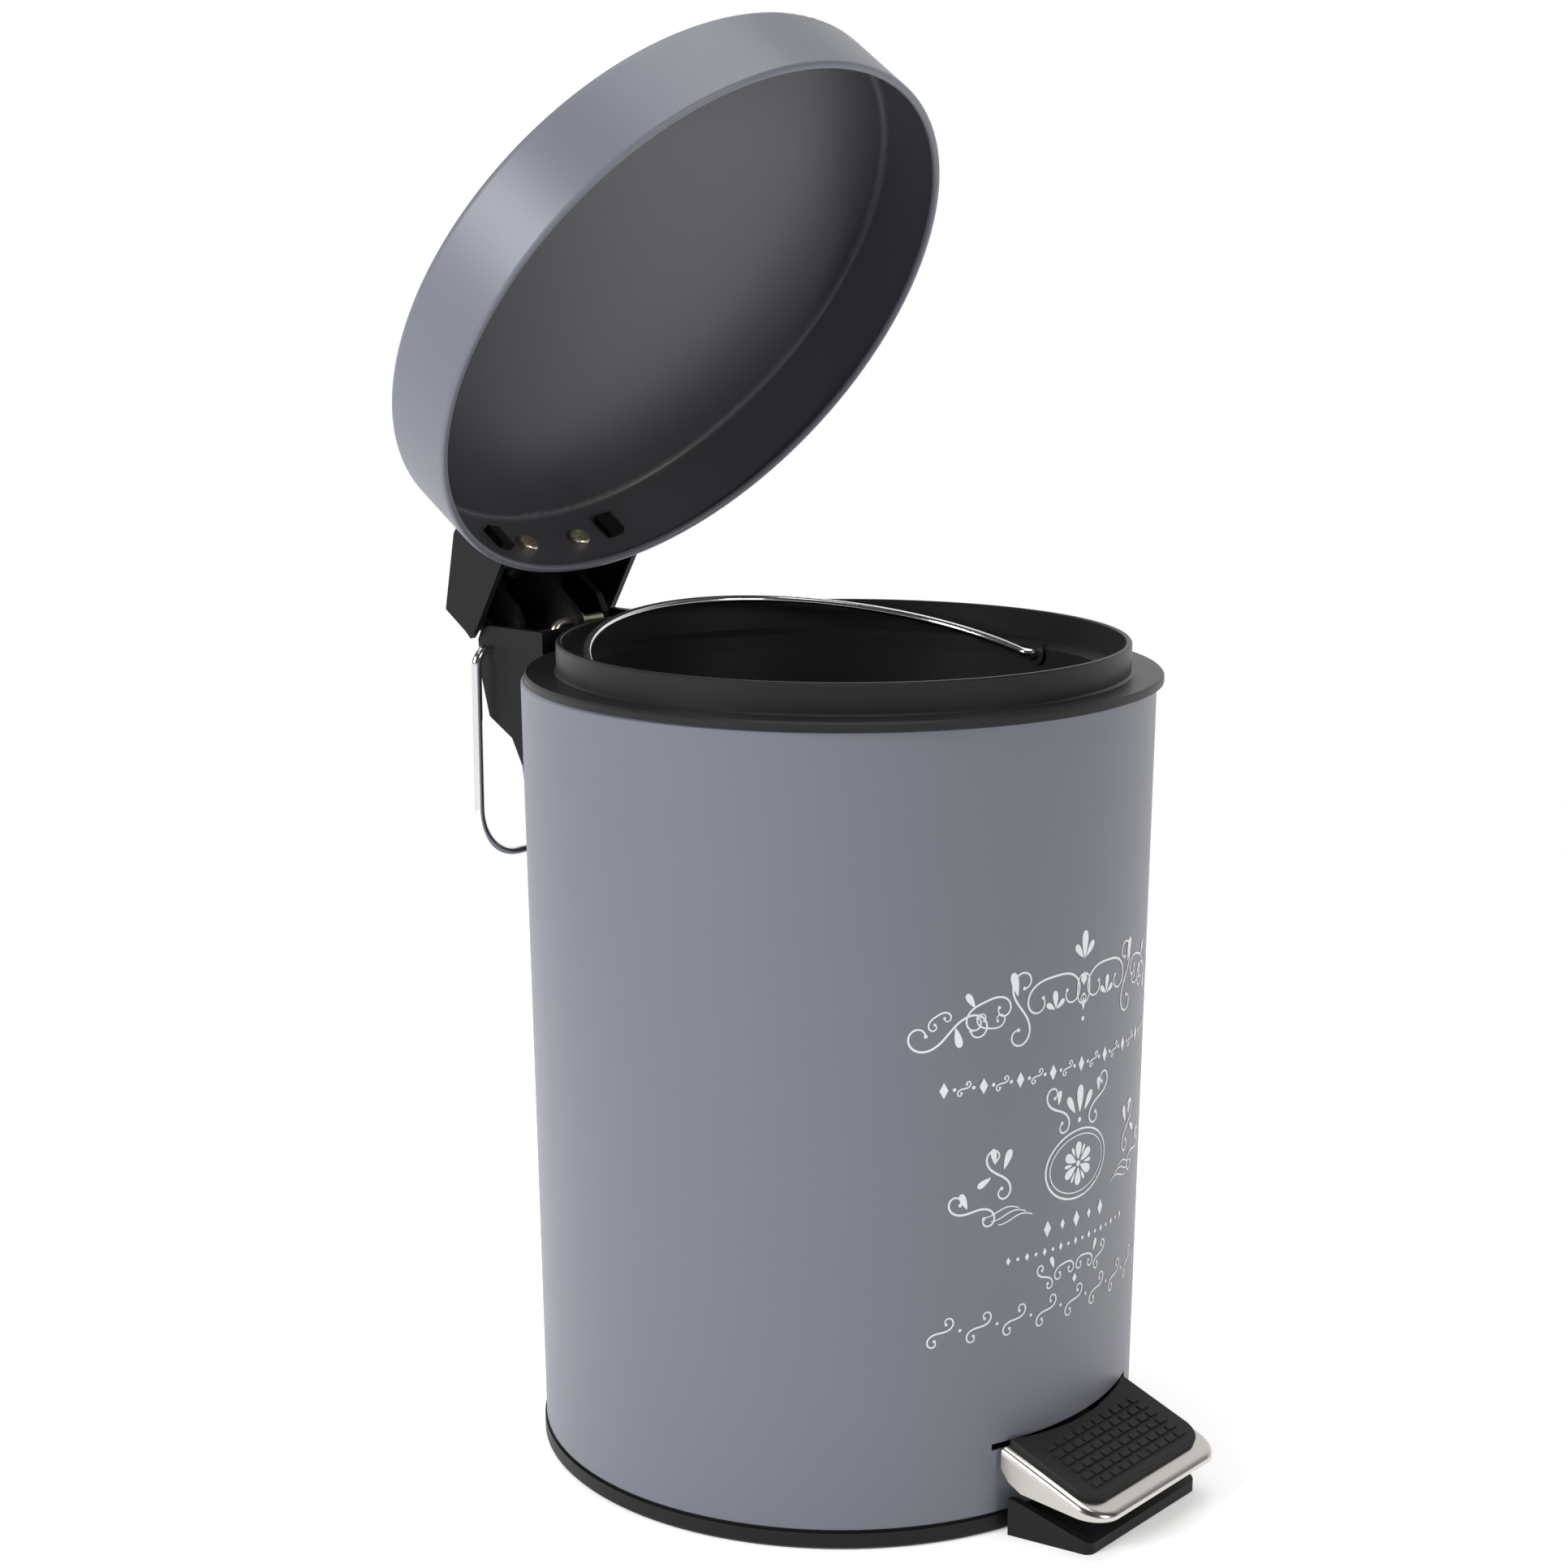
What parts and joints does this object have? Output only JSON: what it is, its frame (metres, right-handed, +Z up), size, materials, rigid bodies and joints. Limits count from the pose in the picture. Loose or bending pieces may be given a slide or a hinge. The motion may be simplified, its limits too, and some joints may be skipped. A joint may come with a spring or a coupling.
{
  "type": "pedal trash can",
  "caption": "Round steel pedal bin with hinged lid, lift-out plastic bucket with wire handle, rear carry handle and front pedal linked to the lid.",
  "frame": {"origin": "centre of the base's underside, on the floor", "axes": "+Z up, -Y towards the pedal, +Y towards the lid hinge, X along the hinge axis"},
  "size_m": [0.1712, 0.2316, 0.3854],
  "materials": {
    "painted_steel": "matt grey powder coat",
    "black_plastic": "fine moulded texture",
    "bucket_plastic": "satin moulded",
    "black_rubber": "moulded tread",
    "chrome": "bright chrome",
    "plated_steel": "zinc plated"
  },
  "bodies": {
    "can": {"body_shell": "painted_steel", "base": "black_plastic", "hinge_bracket": "black_plastic", "bracket_screws": "plated_steel", "hinge_pin": "plated_steel", "pedal_axle": "plated_steel", "axle_clips": "plated_steel"},
    "lid": {"lid_shell": "painted_steel", "lid_bracket": "black_plastic", "lid_screws": "plated_steel"},
    "pedal": {"pedal_lever": "plated_steel", "pedal_cover": "chrome", "pedal_pad": "black_rubber", "pedal_rivets": "plated_steel"},
    "rod": {"pull_rod": "plated_steel", "rod_clip": "plated_steel"},
    "handle": {"carry_handle": "chrome"},
    "bucket": {"inner_bucket": "bucket_plastic"},
    "bail": {"bucket_handle": "chrome"}
  },
  "joints": [
    {"name": "lid_hinge", "type": "hinge", "parent": "can", "child": "lid", "pos_m": [0, 0.1075, 0.2125], "axis": [-1, 0, 0], "range_deg": [-54.5, 15]},
    {"name": "pedal_pivot", "type": "hinge", "parent": "can", "child": "pedal", "pos_m": [0, -0.06, 0.014], "axis": [1, 0, 0], "range_deg": [-5.9, 1.65]},
    {"name": "rod_link", "type": "hinge", "parent": "lid", "child": "rod", "pos_m": [0, 0.09413, 0.21931], "axis": [1, 0, 0], "range_deg": [-54.5, 15]},
    {"name": "carry_handle_hinge", "type": "hinge", "parent": "can", "child": "handle", "pos_m": [0, 0.1075, 0.2125], "axis": [1, 0, 0], "range_deg": [-13, 130]},
    {"name": "bucket_turn", "type": "hinge", "parent": "can", "child": "bucket", "pos_m": [0, -0.0018, 0.213], "axis": [0, 0, 1], "continuous": true},
    {"name": "bucket_handle_hinge", "type": "hinge", "parent": "bucket", "child": "bail", "pos_m": [0, -0.0018, 0.212], "axis": [0.9792, -0.2028, 0], "range_deg": [0, 158.2]}
  ],
  "couplings": [
    {"joint": "pedal_pivot", "follows": "lid_hinge", "ratio": 0.10756},
    {"joint": "rod_link", "follows": "lid_hinge", "ratio": 1}
  ]
}
